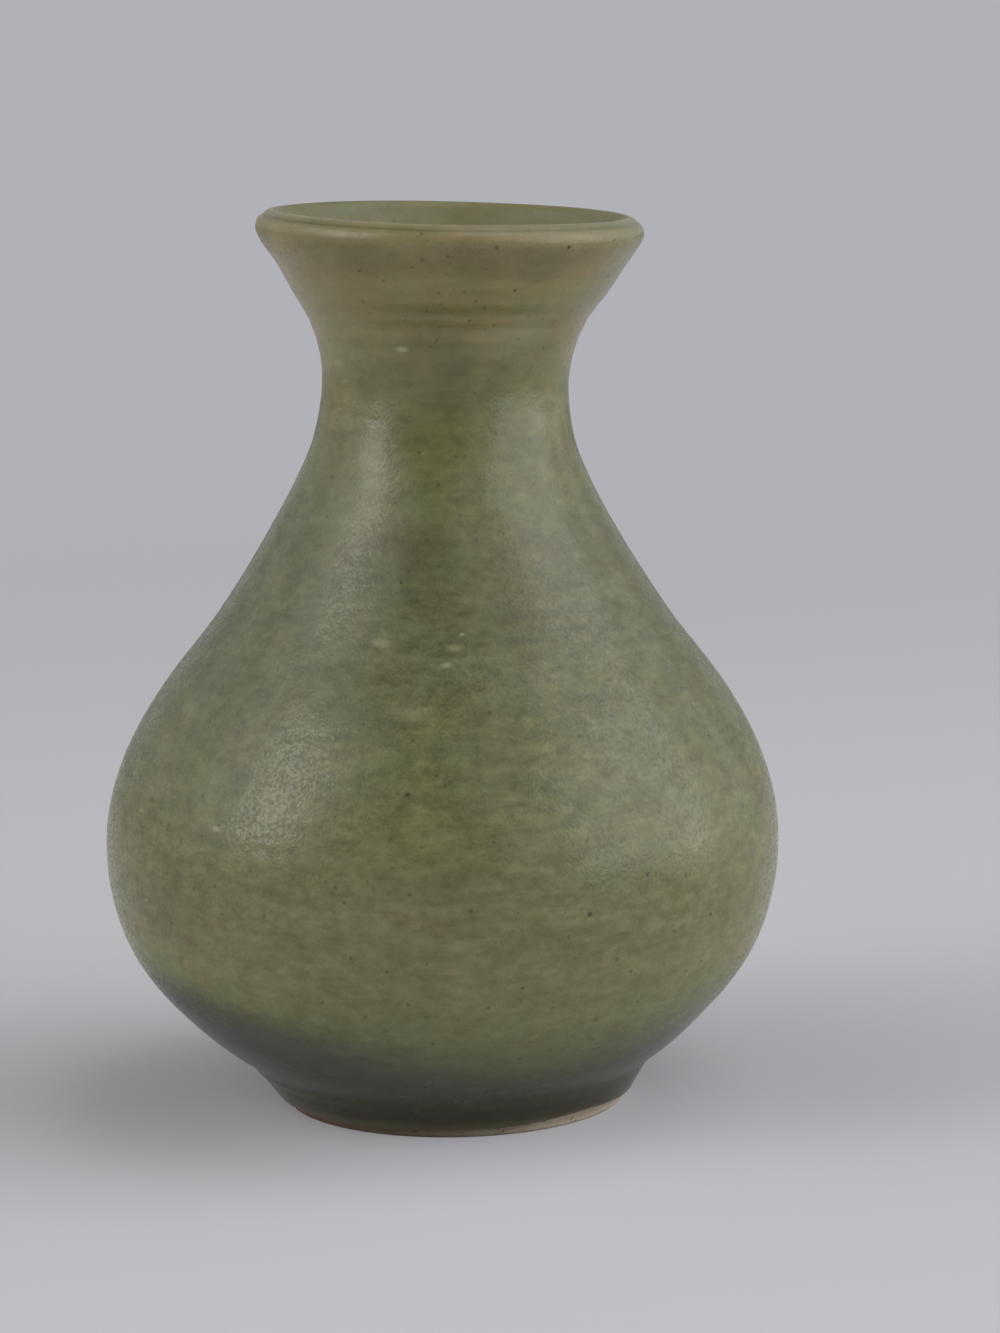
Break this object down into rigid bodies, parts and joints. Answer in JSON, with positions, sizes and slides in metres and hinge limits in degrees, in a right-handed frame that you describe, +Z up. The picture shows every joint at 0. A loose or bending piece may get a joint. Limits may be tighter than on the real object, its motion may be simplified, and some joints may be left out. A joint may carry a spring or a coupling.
{
  "type": "ceramic vase",
  "caption": "Small hand-thrown stoneware vase with a round belly, narrow neck, flared mouth with a rolled lip and a turned foot, glazed inside and out.",
  "frame": {"origin": "centre of the bounding box on the plane that the foot ring stands on", "axes": "+Z up out of the mouth, +X towards the side that the mouth leans and dips to, -Y towards the front"},
  "size_m": [0.0908, 0.0908, 0.1212],
  "materials": {
    "bare_stoneware": "bare toasted stoneware, matte",
    "satin_celadon_glaze": "satin olive celadon glaze with iron specks",
    "celadon_liner_glaze": "satin olive celadon glaze, poured"
  },
  "bodies": {
    "root": {"stoneware_body": "bare_stoneware", "outer_glaze": "satin_celadon_glaze", "liner_glaze": "celadon_liner_glaze"}
  },
  "joints": []
}
